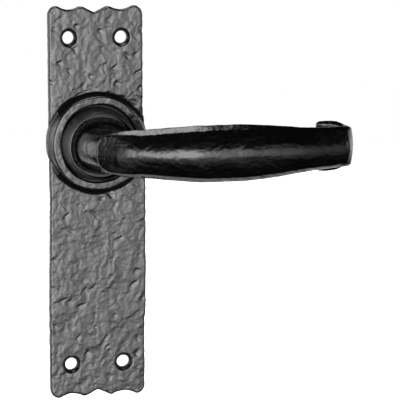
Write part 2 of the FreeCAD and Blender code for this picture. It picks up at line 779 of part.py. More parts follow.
def make_spring_arbor():
    """Ring keyed to the shank, with a slot for the hook of the spring's inner end."""
    body = new_body("spring_arbor")
    ring = sketch_on(body, "XZ_Plane", "arbor_circle", "Sizes.arbor_bottom")
    add_circle(ring, None, None, "Sizes.arbor_radius")
    pad(body, ring, "Sizes.shoulder_height - Sizes.arbor_bottom", "arbor_ring")
    cut_double_d(body, "Sizes.arbor_bottom", "Sizes.shoulder_height - Sizes.arbor_bottom")
    slot = sketch_on(body, "XZ_Plane", "arbor_slot_outline", "Sizes.arbor_bottom")
    closed_polygon(slot, [
        ("Sizes.bearing_radius + 0.4", "-Sizes.arbor_slot_width / 2"),
        ("Sizes.arbor_radius + 1", "-Sizes.arbor_slot_width / 2"),
        ("Sizes.arbor_radius + 1", "Sizes.arbor_slot_width / 2"),
        ("Sizes.bearing_radius + 0.4", "Sizes.arbor_slot_width / 2"),
    ])
    depth = "Sizes.shoulder_height - Sizes.arbor_bottom"
    pocket(body, slot, depth, "arbor_slot", along_normal=True)
    return body


def make_stop_plate():
    """Keyed disc whose tab swings between the two stop pins."""
    body = new_body("stop_plate")
    disc = sketch_on(body, "XZ_Plane", "stop_disc_circle", "Sizes.stop_plate_bottom")
    add_circle(disc, None, None, "Sizes.stop_plate_radius")
    pad(body, disc, "Sizes.stop_plate_thickness", "stop_disc")
    tab = sketch_on(body, "XZ_Plane", "stop_tab_outline", "Sizes.stop_plate_bottom")
    tab.setExpression("AttachmentOffset.Rotation.Angle", "Sizes.tab_rest_angle * 1 deg")
    closed_polygon(tab, [
        ("Sizes.stop_plate_radius - 2", "-Sizes.stop_tab_width / 2"),
        ("Sizes.stop_tab_reach", "-Sizes.stop_tab_width / 2"),
        ("Sizes.stop_tab_reach", "Sizes.stop_tab_width / 2"),
        ("Sizes.stop_plate_radius - 2", "Sizes.stop_tab_width / 2"),
    ])
    pad(body, tab, "Sizes.stop_plate_thickness", "stop_tab")
    cut_double_d(body, "Sizes.stop_plate_bottom", "Sizes.stop_plate_thickness")
    return body


def make_circlip():
    """Snap ring with a gap and two eyes for the pliers."""
    body = new_body("circlip")
    ring = sketch_on(body, "XZ_Plane", "circlip_circles", "Sizes.circlip_bottom")
    add_circle(ring, None, None, "Sizes.circlip_outer_radius")
    add_circle(ring, None, None, "Sizes.circlip_inner_radius")
    pad(body, ring, "Sizes.circlip_thickness", "circlip_ring")
    eyes = sketch_on(body, "XZ_Plane", "circlip_eyes", "Sizes.circlip_bottom")
    across = "Sizes.circlip_gap / 2 + 1"
    middle = (
        "(Sizes.circlip_inner_radius + Sizes.circlip_outer_radius) / 2 + Sizes.circlip_eye_offset"
    )
    for side in ("", "-"):
        add_circle(eyes, f"{side}({across})", f"-({middle})", "Sizes.circlip_eye_radius")
    pad(body, eyes, "Sizes.circlip_thickness", "circlip_eye_pads")
    gap = sketch_on(body, "XZ_Plane", "circlip_gap_outline", "Sizes.circlip_bottom")
    closed_polygon(gap, [
        ("-Sizes.circlip_gap / 4", "-Sizes.circlip_outer_radius - 3"),
        ("Sizes.circlip_gap / 4", "-Sizes.circlip_outer_radius - 3"),
        ("Sizes.circlip_gap / 4", "-Sizes.circlip_inner_radius / 2"),
        ("-Sizes.circlip_gap / 4", "-Sizes.circlip_inner_radius / 2"),
    ])
    pocket(body, gap, "Sizes.circlip_thickness", "circlip_gap", along_normal=True)
    bites = sketch_on(body, "XZ_Plane", "circlip_plier_holes", "Sizes.circlip_bottom")
    for side in ("", "-"):
        add_circle(bites, f"{side}({across})", f"-({middle})", "Sizes.circlip_eye_hole_radius")
    pocket(body, bites, "Sizes.circlip_thickness", "circlip_holes", along_normal=True)
    return body


def make_pins(label, places, radius_formula):
    """Round pins pressed into the floor of the spring chamber, as one node."""
    solids = []
    for number, (across, along) in enumerate(places, 1):
        pin = doc.addObject("Part::Cylinder", f"{label}_{number}")
        pin.setExpression("Radius", radius_formula)
        pin.setExpression("Height", "Sizes.chamber_depth + Sizes.pin_hole_depth - Sizes.pin_end")
        pin.Placement = Placement(Vector(0, 0, 0), Rotation(Vector(1, 0, 0), 90))
        pin.setExpression("Placement.Base.x", across)
        pin.setExpression("Placement.Base.y", "-Sizes.pin_end")
        pin.setExpression("Placement.Base.z", along)
        solids.append(pin)
    if len(solids) == 1:
        solids[0].Label = label
        return solids[0]
    group = doc.addObject("Part::Compound", label)
    group.Label = label
    group.Links = solids
    return group


def make_return_spring():
    """Flat spiral strip: hook in the arbor's slot, two turns, then a leg round the anchor."""
    thickness = size("spring_thickness")
    inner_radius = size("spring_inner_radius")
    pitch = size("spring_pitch")
    turns = size("spring_turns")
    anchor = math.radians(size("anchor_angle"))
    steps = int(round(24 * turns)) + 1
    sweep = 2 * math.pi * turns + anchor - 2 * math.pi

    def along_spiral(offset):
        points = []
        for step in range(steps):
            angle = sweep * step / (steps - 1)
            radius = inner_radius + pitch * angle / (2 * math.pi) + offset
            points.append(Vector(radius * math.cos(angle), 0, radius * math.sin(angle)))
        return points

    inner = along_spiral(0.0)
    outer = along_spiral(thickness)
    inner_curve = Part.BSplineCurve()
    inner_curve.interpolate(inner)
    outer_curve = Part.BSplineCurve()
    outer_curve.interpolate(outer)
    outline = Part.Wire([
        inner_curve.toShape(),
        Part.makeLine(inner[-1], outer[-1]),
        outer_curve.toShape(),
        Part.makeLine(outer[0], inner[0]),
    ])
    bottom = size("spring_bottom")
    width = size("spring_width")
    strip = Part.Face(outline).extrude(Vector(0, -width, 0))

    hook_start = size("bearing_radius") + size("spring_hook_depth")
    hook = Part.makeBox(inner_radius + thickness - hook_start, width, thickness)
    hook.translate(Vector(hook_start, -width, 0))

    pin_circle = size("pin_circle_radius")
    eye_inner = size("anchor_radius") + size("spring_eye_play")
    eye = Part.makeCylinder(eye_inner + thickness, width)
    eye = eye.cut(Part.makeCylinder(eye_inner, width))
    eye.rotate(Vector(0, 0, 0), Vector(1, 0, 0), 90)
    eye.translate(Vector(pin_circle, 0, 0))
    end_radius = inner_radius + pitch * sweep / (2 * math.pi)
    leg_length = pin_circle - eye_inner - end_radius
    leg = Part.makeBox(leg_length, width, thickness)
    leg.translate(Vector(end_radius, -width, -thickness))
    ending = eye.fuse(leg)
    ending.rotate(Vector(0, 0, 0), Vector(0, 1, 0), -size("anchor_angle"))

    feature = doc.addObject("Part::Feature", "return_spring")
    feature.Label = "return_spring"
    feature.Shape = strip.fuse([hook, ending]).removeSplitter()
    feature.Placement = Placement(Vector(0, -bottom, 0), Rotation())
    return feature


def check_document():
    """Stops the build when an object failed to compute."""
    doc.recompute()
    failed = [o.Name for o in doc.Objects if "Invalid" in o.State or "Error" in o.State]
    if failed:
        raise RuntimeError(f"failed objects: {failed}")


def export(subparts):
    os.makedirs("parts", exist_ok=True)
    for subpart in subparts:
        shape = subpart.Shape
        if shape.isNull() or not shape.isValid():
            raise RuntimeError(f"{subpart.Label} has no valid shape")
    for subpart in subparts:
        shape = subpart.Shape
        print(f"{subpart.Label}: {len(shape.Solids)} solid(s), {shape.Volume:.1f} mm3")
        shape.exportStep(f"parts/{subpart.Label}.step")


fill_sheet()
subparts = [
    make_backplate(),
    make_bearing_collar(),
    make_thrust_washer(),
    make_lever(),
    make_spring_arbor(),
    make_return_spring(),
    make_stop_plate(),
    make_circlip(),
    make_pins("stop_pins", STOP_PIN_PLACES, "Sizes.pin_radius"),
    make_pins("spring_anchor_pin", [ANCHOR_PLACE], "Sizes.anchor_radius"),
    make_spindle(),
    make_grub_screw(),
]
check_document()
export(subparts)
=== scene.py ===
import bpy
import bmesh
import math
import random
import numpy as np
from mathutils import Matrix, Vector


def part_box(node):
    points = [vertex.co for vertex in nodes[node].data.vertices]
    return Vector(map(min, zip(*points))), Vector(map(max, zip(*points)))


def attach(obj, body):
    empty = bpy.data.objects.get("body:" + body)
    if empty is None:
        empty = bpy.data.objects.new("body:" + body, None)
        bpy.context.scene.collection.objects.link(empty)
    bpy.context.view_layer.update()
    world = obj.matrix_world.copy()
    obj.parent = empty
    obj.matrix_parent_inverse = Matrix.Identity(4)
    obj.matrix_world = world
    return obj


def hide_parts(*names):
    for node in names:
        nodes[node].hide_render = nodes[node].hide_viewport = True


# Black cast-iron door lever handle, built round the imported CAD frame.
# Lengths are in metres, and MM turns millimetres into metres.
# The front of the handle faces -Y, and a height above the door is a distance along -Y.

MM = 0.001
FULL_TURN = 2 * math.pi

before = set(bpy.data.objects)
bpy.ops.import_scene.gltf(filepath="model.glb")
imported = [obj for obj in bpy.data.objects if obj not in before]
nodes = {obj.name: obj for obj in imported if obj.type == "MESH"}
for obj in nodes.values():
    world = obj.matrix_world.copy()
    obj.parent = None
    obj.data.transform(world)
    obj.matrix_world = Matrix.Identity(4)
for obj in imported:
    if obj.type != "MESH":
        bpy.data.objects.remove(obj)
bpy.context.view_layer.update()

PLATE_LOW, PLATE_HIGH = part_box("backplate")
COLLAR_LOW, COLLAR_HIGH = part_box("bearing_collar")
LEVER_LOW, LEVER_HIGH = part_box("lever")
COLLAR_TOP = -COLLAR_LOW.y
SPINDLE_SOCKET = 8.1 * MM


# ---------------------------------------------------------------- noise and mesh helpers


def lattice(ix, iz, seed):
    """A repeatable pseudo-random angle for each whole-number place."""
    value = np.sin(ix * 127.1 + iz * 311.7 + seed * 74.7) * 43758.5453
    return (value - np.floor(value)) * FULL_TURN


def ripple(x, z, size, seed):
    """Smooth gradient noise over the plane, from about -1 to 1, with cells of a given size."""
    px, pz = x / size, z / size
    ix, iz = np.floor(px), np.floor(pz)
    fx, fz = px - ix, pz - iz
    ux = fx * fx * fx * (fx * (fx * 6 - 15) + 10)
    uz = fz * fz * fz * (fz * (fz * 6 - 15) + 10)
    corner = {}
    for dx in (0, 1):
        for dz in (0, 1):
            angle = lattice(ix + dx, iz + dz, seed)
            corner[dx, dz] = np.cos(angle) * (fx - dx) + np.sin(angle) * (fz - dz)
    low = corner[0, 0] * (1 - ux) + corner[1, 0] * ux
    high = corner[0, 1] * (1 - ux) + corner[1, 1] * ux
    return (low * (1 - uz) + high * uz) * 1.5


def ramp(value, low, high):
    """Rises smoothly from 0 at low to 1 at high."""
    share = np.clip((value - low) / (high - low), 0, 1)
    return share * share * (3 - 2 * share)


def coordinates(mesh):
    """The mesh's points as an array of rows."""
    values = np.empty(len(mesh.vertices) * 3)
    mesh.vertices.foreach_get("co", values)
    return values.reshape(-1, 3)


def set_coordinates(mesh, points):
    mesh.vertices.foreach_set("co", points.ravel())
    mesh.update()


def normals(mesh):
    """The mesh's normals at its points, as an array of rows."""
    values = np.empty(len(mesh.vertices) * 3)
    mesh.vertex_normals.foreach_get("vector", values)
    return values.reshape(-1, 3)


def piece(name, mesh):
    made = bpy.data.objects.new(name, mesh)
    bpy.context.scene.collection.objects.link(made)
    return made


def smooth_faces(mesh):
    mesh.polygons.foreach_set("use_smooth", [True] * len(mesh.polygons))


def smooth_but_sharp(mesh, angle):
    """Smooth faces, with edges kept sharp where they turn by more than the angle."""
    smooth_faces(mesh)
    mesh.set_sharp_from_angle(angle=math.radians(angle))


def bake_modifiers(made):
    """Replaces the piece's mesh with its mesh after all its modifiers."""
    graph = bpy.context.evaluated_depsgraph_get()
    graph.update()
    mesh = bpy.data.meshes.new_from_object(made.evaluated_get(graph))
    made.modifiers.clear()
    made.data = mesh
    return mesh


def remesh(made, voxel, rounds):
    """One even closed skin over the piece, with its steps smoothed away."""
    skin = made.modifiers.new("skin", "REMESH")
    skin.mode = "VOXEL"
    skin.voxel_size = voxel
    skin.use_smooth_shade = True
    relax = made.modifiers.new("relax", "SMOOTH")
    relax.factor = 0.5
    relax.iterations = rounds
    return bake_modifiers(made)


def finished_mesh(name, shape):
    """The working shape as a mesh, with its normals outward."""
    bmesh.ops.recalc_face_normals(shape, faces=shape.faces)
    mesh = bpy.data.meshes.new(name)
    shape.to_mesh(mesh)
    shape.free()
    return mesh


def skin(shape, rows):
    """Faces between each row of vertices and the next; each row closes on itself."""
    count = len(rows[0])
    for low, high in zip(rows, rows[1:]):
        for index in range(count):
            following = (index + 1) % count
            shape.faces.new((low[index], low[following], high[following], high[index]))


def loft_mesh(name, rings):
    """A closed mesh through rings of points, with a flat face at each end."""
    shape = bmesh.new()
    rows = [[shape.verts.new(point) for point in ring] for ring in rings]
    skin(shape, rows)
    shape.faces.new(rows[0][::-1])
    shape.faces.new(rows[-1])
    return finished_mesh(name, shape)


def hoop_mesh(name, rings):
    """A closed mesh through rings of points, the last ring joined to the first."""
    shape = bmesh.new()
    rows = [[shape.verts.new(point) for point in ring] for ring in rings]
    skin(shape, rows + rows[:1])
    return finished_mesh(name, shape)


def lathe_mesh(name, profile, segments):
    """A ring turned about the spindle's axis from pairs of radius and height."""
    rings = []
    for step in range(segments):
        angle = FULL_TURN * step / segments
        rings.append([
            Vector((radius * math.cos(angle), -height, radius * math.sin(angle)))
            for radius, height in profile
        ])
    return hoop_mesh(name, rings)


def joined(name, meshes):
    """One mesh that holds all of the given closed meshes."""
    shape = bmesh.new()
    for mesh in meshes:
        shape.from_mesh(mesh)
        bpy.data.meshes.remove(mesh)
    return finished_mesh(name, shape)


# ---------------------------------------------------------------- materials

# Dust and painted light lie on the lever up to a height above the door, and are gone by a second
# one.
DUST_AND_LIGHT_START = 16.0 * MM
DUST_AND_LIGHT_END = 18.5 * MM


class Shader:
    """A material's node tree, with short calls for the nodes that are used here."""

    def __init__(self, name):
        self.material = bpy.data.materials.new(name)
        self.material.use_nodes = True
        self.tree = self.material.node_tree
        self.principled = self.tree.nodes["Principled BSDF"]
        self.place = self.tree.nodes.new("ShaderNodeTexCoord").outputs["Object"]

    def node(self, kind, **settings):
        made = self.tree.nodes.new(kind)
        for name, value in settings.items():
            setattr(made, name, value)
        return made

    def join(self, source, target):
        self.tree.links.new(source, target)

    def noise(self, scale, detail=4.0, roughness=0.6, place=None):
        made = self.node("ShaderNodeTexNoise")
        made.inputs["Scale"].default_value = scale
        made.inputs["Detail"].default_value = detail
        made.inputs["Roughness"].default_value = roughness
        self.join(place or self.place, made.inputs["Vector"])
        return made.outputs["Fac"]

    def voronoi(self, scale):
        made = self.node("ShaderNodeTexVoronoi")
        made.inputs["Scale"].default_value = scale
        self.join(self.place, made.inputs["Vector"])
        return made.outputs["Distance"]

    def stretched(self, x, y, z):
        made = self.node("ShaderNodeMapping")
        made.inputs["Scale"].default_value = (x, y, z)
        self.join(self.place, made.inputs["Vector"])
        return made.outputs["Vector"]

    def span(self, value, low, high, from_low=0.0, from_high=1.0):
        made = self.node("ShaderNodeMapRange")
        self.join(value, made.inputs["Value"])
        made.inputs["From Min"].default_value = from_low
        made.inputs["From Max"].default_value = from_high
        made.inputs["To Min"].default_value = low
        made.inputs["To Max"].default_value = high
        return made.outputs["Result"]

    def product(self, first, second):
        made = self.node("ShaderNodeMath", operation="MULTIPLY")
        self.join(first, made.inputs[0])
        self.join(second, made.inputs[1])
        return made.outputs[0]

    def mix(self, share, first, second):
        """A colour between two, of which the first is a colour or another node's output."""
        made = self.node("ShaderNodeMix", data_type="RGBA")
        self.join(share, made.inputs["Factor"])
        if isinstance(first, tuple):
            made.inputs[6].default_value = (*first, 1)
        else:
            self.join(first, made.inputs[6])
        made.inputs[7].default_value = (*second, 1)
        return made.outputs[2]

    def bump(self, height, distance, strength=1.0, under=None):
        made = self.node("ShaderNodeBump")
        made.inputs["Strength"].default_value = strength
        made.inputs["Distance"].default_value = distance
        self.join(height, made.inputs["Height"])
        if under:
            self.join(under, made.inputs["Normal"])
        return made.outputs["Normal"]

    def set(self, **values):
        for name, value in values.items():
            self.principled.inputs[name.replace("_", " ")].default_value = value


def dusted_and_lit(shader, black):
    """Pale dust specks over the black, and painted light that lightens all the black a little, low
    on the lever where it stands in the collar's shaded cup.
    """
    parts = shader.node("ShaderNodeSeparateXYZ")
    shader.join(shader.place, parts.inputs[0])
    # Painted light: every point in this low band is lightened at least a little, standing in for
    # light in the shaded cup; the brighter points are dust specks.
    low = shader.span(parts.outputs["Y"], 0.0, 1.0, -DUST_AND_LIGHT_END, -DUST_AND_LIGHT_START)
    specks_and_lift = shader.span(shader.noise(1500, 3, 0.8), 0.12, 1.0, 0.5, 0.7)
    return shader.mix(shader.product(low, specks_and_lift), black, (0.11, 0.11, 0.11))


def enamel(name, roughness, grain, pores, depth, index, dusty_and_lit=False):
    """Satin black enamel: nearly black, with an uneven gloss and a fine orange peel."""
    shader = Shader(name)
    black = shader.mix(shader.noise(220), (0.0004, 0.0004, 0.0004), (0.0010, 0.0010, 0.0010))
    # Dust specks, with painted light lifting the black in the collar's shaded cup.
    if dusty_and_lit:
        black = dusted_and_lit(shader, black)
    shader.join(black, shader.principled.inputs["Base Color"])
    low, high = roughness
    shader.join(
        shader.span(shader.noise(450, 5), low, high, 0.3, 0.7),
        shader.principled.inputs["Roughness"],
    )
    peel = shader.bump(shader.noise(grain, 3), depth)
    open_pores = shader.span(shader.voronoi(pores), 0.0, 1.0, 0.0, 0.35)
    pitted = shader.bump(open_pores, depth * 1.2, 0.5, peel)
    shader.join(pitted, shader.principled.inputs["Normal"])
    shader.set(IOR=index)
    return shader.material


def plated_steel():
    """Zinc plate: pale grey, fine drawn lines along the bar and a slightly cloudy gloss."""
    shader = Shader("zinc_plate")
    cloud = shader.noise(160, 5)
    shader.join(
        shader.mix(cloud, (0.13, 0.135, 0.14), (0.21, 0.215, 0.22)),
        shader.principled.inputs["Base Color"],
    )
    lines = shader.noise(1.0, 3, 0.7, shader.stretched(3000, 120, 3000))
    shader.join(shader.span(lines, 0.22, 0.42), shader.principled.inputs["Roughness"])
    shader.join(shader.bump(lines, 0.02 * MM, 0.5), shader.principled.inputs["Normal"])
    shader.set(Metallic=1.0)
    return shader.material


def blued_steel():
    """Hardened strip: blue-grey with straw-coloured patches and an oily gloss."""
    shader = Shader("blued_steel")
    patch = shader.noise(300, 4)
    shader.join(
        shader.mix(patch, (0.10, 0.12, 0.19), (0.26, 0.21, 0.15)),
        shader.principled.inputs["Base Color"],
    )
    shader.join(shader.span(shader.noise(900), 0.18, 0.34), shader.principled.inputs["Roughness"])
    shader.join(shader.bump(shader.noise(2500), 0.01 * MM, 0.4), shader.principled.inputs["Normal"])
    shader.set(Metallic=1.0)
    return shader.material


def black_oxide():
    """Black-oxide steel: dark, with lighter wear in a fine speckle."""
    shader = Shader("black_oxide")
    worn = shader.span(shader.noise(700, 6, 0.7), 0.0, 1.0, 0.5, 0.75)
    shader.join(
        shader.mix(worn, (0.03, 0.03, 0.033), (0.16, 0.16, 0.165)),
        shader.principled.inputs["Base Color"],
    )
    shader.join(shader.span(worn, 0.3, 0.5), shader.principled.inputs["Roughness"])
    shader.join(shader.bump(shader.noise(2200), 0.01 * MM, 0.5), shader.principled.inputs["Normal"])
    shader.set(Metallic=1.0)
    return shader.material


def ground_steel():
    """Ground pins: bright, with rings left by the wheel."""
    shader = Shader("ground_steel")
    rings = shader.noise(1.0, 2, 0.6, shader.stretched(300, 6000, 300))
    shader.join(
        shader.mix(rings, (0.35, 0.35, 0.36), (0.55, 0.55, 0.56)),
        shader.principled.inputs["Base Color"],
    )
    shader.join(shader.span(rings, 0.2, 0.36), shader.principled.inputs["Roughness"])
    shader.join(shader.bump(rings, 0.01 * MM, 0.6), shader.principled.inputs["Normal"])
    shader.set(Metallic=1.0)
    return shader.material


def black_nylon():
    """Moulded nylon filled with graphite: waxy near-black with a faint grain."""
    shader = Shader("black_nylon")
    shader.join(
        shader.mix(shader.noise(260), (0.006, 0.006, 0.006), (0.012, 0.012, 0.012)),
        shader.principled.inputs["Base Color"],
    )
    shader.join(shader.span(shader.noise(900), 0.38, 0.52), shader.principled.inputs["Roughness"])
    shader.join(shader.bump(shader.noise(1800), 0.02 * MM, 0.4), shader.principled.inputs["Normal"])
    return shader.material


def dress(made, material):
    """Gives the piece one material in every slot that it has."""
    if not made.data.materials:
        made.data.materials.append(material)
    for slot in made.material_slots:
        slot.link = "OBJECT"
        slot.material = material


# ---------------------------------------------------------------- backplate

PLATE_VOXEL = 0.26 * MM
DICE_SEED = 11
GOUGES = 105
PITS = 110
RELIEF_DEEPEST = 0.75 * MM
RELIEF_HIGHEST = 0.16 * MM


def torn_ledges(dice, x, z):
    """Short torn ledges in the cast face, each a steep dark foot with a gentle far side."""
    relief = np.zeros_like(x)
    for _ in range(GOUGES):
        along_x = dice.uniform(-18, 18) * MM
        along_z = dice.uniform(PLATE_LOW.z + 3 * MM, PLATE_HIGH.z - 3 * MM)
        rising = dice.random() < 0.7
        tilt = math.radians(dice.uniform(20, 62) if rising else dice.uniform(110, 150))
        length = dice.uniform(0.7, 2.3) * MM
        width = dice.uniform(0.24, 0.5) * MM
        depth = dice.uniform(0.06, 0.32) * MM
        bend = dice.uniform(-0.14, 0.14) / MM
        run = (x - along_x) * math.cos(tilt) + (z - along_z) * math.sin(tilt)
        off = -(x - along_x) * math.sin(tilt) + (z - along_z) * math.cos(tilt)
        off = off - bend * run * run
        envelope = np.exp(-((run / length) ** 2) ** 1.5)
        reach = np.where(off > 0, width, 3.2 * width)
        relief -= envelope * depth * np.exp(-((off / reach) ** 2))
    return relief


def pits(dice, x, z):
    """Small round hollows left by the sand."""
    relief = np.zeros_like(x)
    for _ in range(PITS):
        along_x = dice.uniform(-18, 18) * MM
        along_z = dice.uniform(PLATE_LOW.z + 2 * MM, PLATE_HIGH.z - 2 * MM)
        radius = dice.uniform(0.25, 0.6) * MM
        depth = dice.uniform(0.03, 0.14) * MM
        away = ((x - along_x) ** 2 + (z - along_z) ** 2) / radius**2
        relief -= depth * np.exp(-away)
    return relief


def cast_relief(x, z):
    """Height of the rough cast face over the plane, in metres."""
    drift_x = x + 1.2 * MM * ripple(x, z, 5 * MM, 3)
    drift_z = z + 1.2 * MM * ripple(x, z, 5 * MM, 4)
    broad = 0.14 * MM * ripple(drift_x, drift_z, 9 * MM, 5)
    dents = 0.105 * MM * ripple(drift_x * 1.2, drift_z * 0.85, 3.4 * MM, 6)
    lumps = 0.072 * MM * ripple(drift_x, drift_z, 1.9 * MM, 7)
    grain = 0.036 * MM * ripple(drift_x, drift_z, 0.95 * MM, 8)
    dice = random.Random(DICE_SEED)
    return broad + dents + lumps + grain + torn_ledges(dice, x, z) + pits(dice, x, z)


def plate_relief(x, height, z):
    """How far the plate's front moves along its normals: rough face, calmer boss and rim."""
    radius = np.hypot(x, z)
    front = ramp(height, 1.2 * MM, 3.0 * MM)
    clear_of_collar = ramp(radius, 14.6 * MM, 15.6 * MM)
    on_boss = 1 - ramp(radius, 18.3 * MM, 19.5 * MM)
    on_wall = ramp(radius, 17.6 * MM, 18.2 * MM) * (1 - ramp(radius, 19.4 * MM, 20.2 * MM))
    calm = 0.12 * MM * ripple(x, z, 3.2 * MM, 21) + 0.04 * MM * ripple(x, z, 1.4 * MM, 22)
    relief = cast_relief(x, z) * (1 - on_boss) + calm * on_boss
    relief = np.clip(relief * (1 - 0.5 * on_wall), -RELIEF_DEEPEST, RELIEF_HIGHEST)
    return relief * front * clear_of_collar


def edge_shift(x, z):
    """How far the long edges move along X: chipped, the right one bowed out, the left one in."""
    chips = 0.22 * MM * ripple(x * 0.2, z, 5.5 * MM, 31)
    chips += 0.1 * MM * ripple(x * 0.2, z, 1.9 * MM, 32)
    at_edge = ramp(np.abs(x), 15.5 * MM, 18 * MM) * ramp(np.hypot(x, z), 20 * MM, 22 * MM)
    shift = -np.sign(x) * (np.abs(chips) + 0.02 * MM) * at_edge
    belly = ramp(z, -72 * MM, -62 * MM) * (1 - ramp(z, -12 * MM, 8 * MM))
    below_crown = z < 10 * MM
    shift += ramp(x, 8 * MM, 18 * MM) * (0.3 + 0.6 * belly) * MM * below_crown
    shift += ramp(-x, 8 * MM, 18 * MM) * 0.7 * MM * ramp(z, -75 * MM, -20 * MM)
    return shift


def rim_shift(radius, angle, height):
    """How far the boss's rim moves outward: cut by hand, and pinched above and below."""
    wobble = 0.3 * MM * ripple(angle * 7 * MM, radius * 0.1, 4.2 * MM, 41)
    on_rim = ramp(radius, 14.8 * MM, 15.4 * MM) * (1 - ramp(radius, 18.4 * MM, 19.4 * MM))
    on_rim *= ramp(height, 5.6 * MM, 6.6 * MM)
    pinch = 0.32 * MM * np.sin(angle) ** 2
    pinch *= ramp(radius, 16.8 * MM, 17.8 * MM) * ramp(height, 4.2 * MM, 6.8 * MM)
    return wobble * on_rim - pinch


def groove_drop(radius, height, wander):
    """How deep the groove round the foot of the boss is; its outer edge wanders."""
    across = ramp(radius, 18.2 * MM, 18.8 * MM) * (1 - ramp(radius - wander, 19.1 * MM, 20.2 * MM))
    on_face = ramp(height, 2.6 * MM, 3.0 * MM) * (1 - ramp(height, 3.9 * MM, 4.4 * MM))
    return 0.5 * MM * across * on_face


def shade_the_groove(made, x, height, radius, wander):
    """Painted shade: a dull black that barely reflects, on the groove and on the boss's wall above
    it, but for its left, stands in for the shade round the boss's foot.
    """
    # Painted shade: the dull, low-index black makes the groove and wall read dark as if in shade.
    made.data.materials.append(enamel(
        "groove_painted_shade", roughness=(0.5, 0.62), grain=900, pores=700, depth=0.03 * MM, index=1.16,
    ))
    painted_shade_faces = (radius > 18.35 * MM + 0.4 * wander) & (radius - wander < 20.0 * MM)
    painted_shade_faces &= (height > 2.4 * MM) & (height < 6.7 * MM) & (x > -15.5 * MM)
    for face in made.data.polygons:
        if all(painted_shade_faces[index] for index in face.vertices):
            face.material_index = 1


def make_backplate():
    """The CAD plate's own shape under one skin, pushed about like a sand casting."""
    made = piece("backplate_casting", nodes["backplate"].data.copy())
    mesh = remesh(made, PLATE_VOXEL, 2)
    points = coordinates(mesh)
    x, height, z = points[:, 0].copy(), -points[:, 1], points[:, 2].copy()
    radius = np.hypot(x, z)
    angle = np.arctan2(z, x)

    points += normals(mesh) * plate_relief(x, height, z)[:, None]
    outward = rim_shift(radius, angle, height)
    points[:, 0] += edge_shift(x, z) + outward * np.cos(angle)
    points[:, 2] += outward * np.sin(angle)

    # the boss's left side, filed back until it is nearly flush with the plate's edge
    past_edge = np.maximum(-18.75 * MM - points[:, 0], 0)
    points[:, 0] += 0.8 * past_edge

    wander = 0.4 * MM * ripple(angle * 8 * MM, radius * 0.1, 5 * MM, 61)
    points[:, 1] += groove_drop(radius, height, wander)
    on_boss = ramp(radius, 14.4 * MM, 14.9 * MM) * (1 - ramp(radius, 20.0 * MM, 20.6 * MM))
    points[:, 0] += 0.32 * MM * on_boss * ramp(height, 2.6 * MM, 3.6 * MM)
    points[:, 0] = np.clip(points[:, 0], PLATE_LOW.x, PLATE_HIGH.x)
    points[:, 2] = np.clip(points[:, 2], PLATE_LOW.z, PLATE_HIGH.z)
    set_coordinates(mesh, points)
    smooth_faces(mesh)
    dress(made, enamel(
        "plate_enamel", roughness=(0.22, 0.32), grain=900, pores=700, depth=0.03 * MM, index=1.6,
    ))
    # Painted shade round the boss's foot, as a dull black on the groove and the wall above it.
    shade_the_groove(made, x, height, radius, wander)
    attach(made, "plate")
    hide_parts("backplate")


# ---------------------------------------------------------------- collar


def bead(radius, height, size, steps=6):
    """Points of a small half-round bead that stands out of the collar's side."""
    return [
        (radius + size * math.sin(math.pi * step / steps),
         height - size * math.cos(math.pi * step / steps))
        for step in range(steps + 1)
    ]


def make_collar():
    """Turned cone with two fine beads at its lip, a deep cup and the bearing under it."""
    bearing = 8.06 * MM
    spigot = 12.0 * MM
    base = COLLAR_HIGH.x - 0.1 * MM
    lip = 12.9 * MM
    mouth = 12.3 * MM
    floor = 13.0 * MM
    seat = 6.4 * MM
    seat_round = 0.3 * MM
    chamber = -COLLAR_HIGH.y
    cone_end = COLLAR_TOP - 1.6 * MM
    deepest_sag = 0.18 * MM
    profile = [
        (bearing, chamber),
        (spigot, chamber),
        (spigot, seat),
        (base - seat_round, seat),
        (base, seat + seat_round),
    ]
    steps = 10
    for step in range(1, steps):
        share = step / steps
        sag = deepest_sag * math.sin(math.pi * share)
        profile.append((base + (lip - base) * share - sag, seat + (cone_end - seat) * share))
    profile += bead(lip - 0.06 * MM, COLLAR_TOP - 1.15 * MM, 0.16 * MM)
    profile += bead(lip - 0.16 * MM, COLLAR_TOP - 0.42 * MM, 0.2 * MM)
    profile += [
        (lip - 0.35 * MM, COLLAR_TOP - 0.02 * MM),
        (mouth + 0.05 * MM, COLLAR_TOP),
        (mouth - 0.05 * MM, COLLAR_TOP - 0.2 * MM),
        (mouth - 0.1 * MM, floor + 0.5 * MM),
        (spigot, floor),
        (bearing, floor),
    ]
    mesh = lathe_mesh("bearing_collar_turned", profile, 200)
    smooth_but_sharp(mesh, 50)
    made = piece("bearing_collar_turned", mesh)
    dress(made, enamel(
        "collar_enamel", roughness=(0.28, 0.38), grain=1300, pores=1200, depth=0.01 * MM, index=1.55,
    ))
    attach(made, "plate")
    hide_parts("bearing_collar")


# ---------------------------------------------------------------- lever

# The lists of the lever are in millimetres and degrees; its functions multiply by MM.
LEVER_VOXEL = 0.24 * MM

# Along the grip: X, height of the face's edge, half the width, how far the ridge stands
# above that edge and the depth of the grip behind the edge.
GRIP = np.array([
    (-6.0, 35.7, 2.2, 0.1, 2.2),
    (-5.5, 36.1, 4.0, 0.3, 2.5),
    (-4.1, 37.1, 6.0, 0.7, 3.2),
    (-1.6, 39.2, 7.4, 1.2, 4.8),
    (1.0, 40.9, 8.0, 1.8, 5.9),
    (4.0, 42.2, 8.5, 2.3, 6.9),
    (11.4, 44.8, 9.0, 2.8, 8.0),
    (21.8, 48.0, 9.9, 3.1, 8.2),
    (33.0, 50.0, 10.5, 3.3, 7.8),
    (44.0, 50.0, 10.5, 3.3, 7.2),
    (55.4, 49.3, 9.9, 3.0, 6.6),
    (64.0, 48.0, 9.1, 2.8, 6.0),
    (72.5, 45.8, 8.3, 2.6, 5.2),
    (79.5, 43.2, 7.9, 2.4, 4.4),
    (84.3, 41.5, 7.75, 2.2, 4.2),
])
BEVEL_WIDTH = 1.85
BEVEL_DEPTH = 2.2
